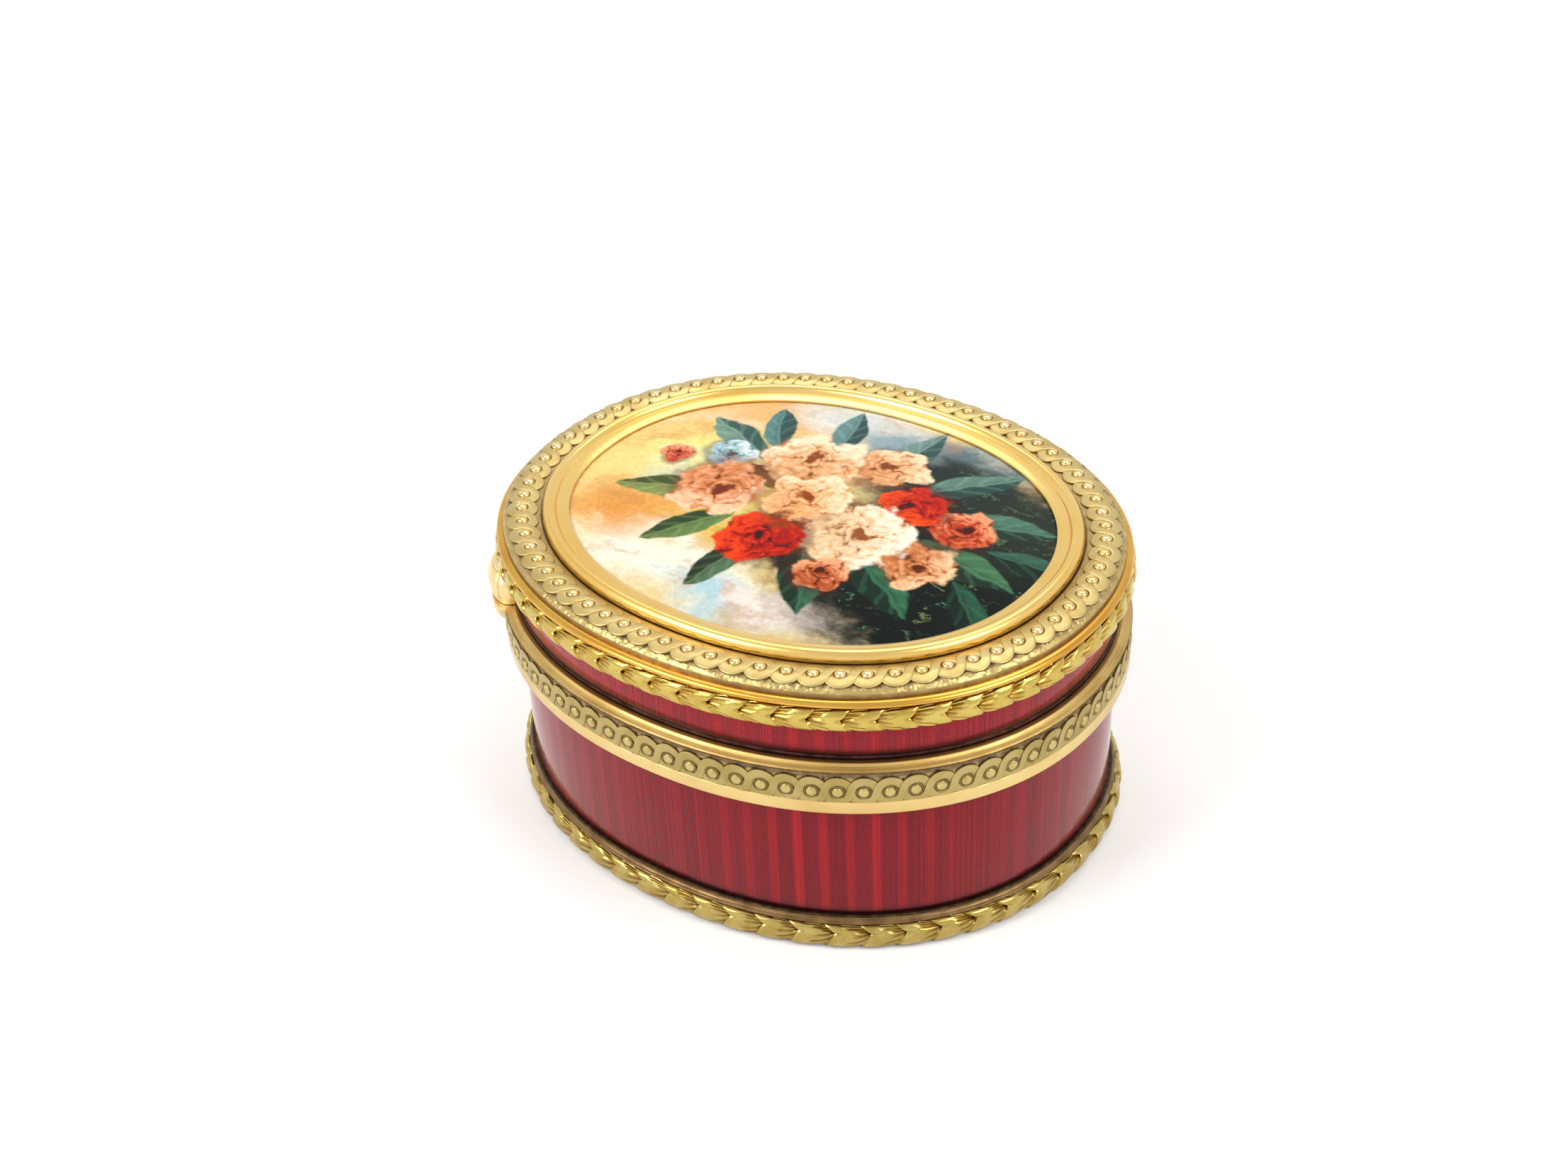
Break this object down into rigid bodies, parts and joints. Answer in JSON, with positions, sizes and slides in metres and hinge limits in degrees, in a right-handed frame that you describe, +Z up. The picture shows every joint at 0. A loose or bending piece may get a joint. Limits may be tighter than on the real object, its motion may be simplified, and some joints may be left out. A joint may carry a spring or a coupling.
{
  "type": "snuff box",
  "caption": "Low oval snuff box with a hinged lid: red enamel walls between gilt laurel and ribbon-and-bead bands, and a framed enamel picture in the lid.",
  "frame": {"origin": "middle of the foot, on the surface that the box stands on", "axes": "+Z up, +X along the oval, +Y towards the hinge at the back"},
  "size_m": [0.0832, 0.0712, 0.0402],
  "materials": {
    "polished_gold": "polished gold",
    "chased_gold": "chased and burnished gold",
    "matte_gold": "matted green gold",
    "pale_gold": "satin pale gold",
    "brown_gold": "toned brown gold",
    "red_enamel": "translucent red enamel over engine turning",
    "painted_enamel": "glossy painted enamel"
  },
  "bodies": {
    "body": {"body_wall": "polished_gold", "base_plate": "polished_gold", "body_lip": "polished_gold", "foot_leaf_moulding": "chased_gold", "base_fillet": "brown_gold", "body_enamel": "red_enamel", "band_border": "pale_gold", "body_ribbon_band": "matte_gold", "body_rim": "polished_gold", "thumb_boss": "polished_gold", "body_knuckle_1": "polished_gold", "body_knuckle_2": "polished_gold", "body_knuckle_3": "polished_gold", "hinge_pin": "polished_gold"},
    "lid": {"lid_wall": "polished_gold", "lid_rim": "polished_gold", "lid_enamel": "red_enamel", "lid_leaf_moulding": "chased_gold", "lid_cordon": "polished_gold", "lid_frame": "matte_gold", "lid_ribbon_band": "matte_gold", "picture_bezel": "polished_gold", "picture_plaque": "painted_enamel", "lid_lining": "polished_gold", "thumbpiece": "polished_gold", "lid_knuckle_1": "polished_gold", "lid_knuckle_2": "polished_gold"}
  },
  "joints": [
    {"name": "lid_hinge", "type": "hinge", "parent": "body", "child": "lid", "pos_m": [0, 0.03485, 0.02885], "axis": [-1, 0, 0], "range_deg": [0, 100]}
  ]
}
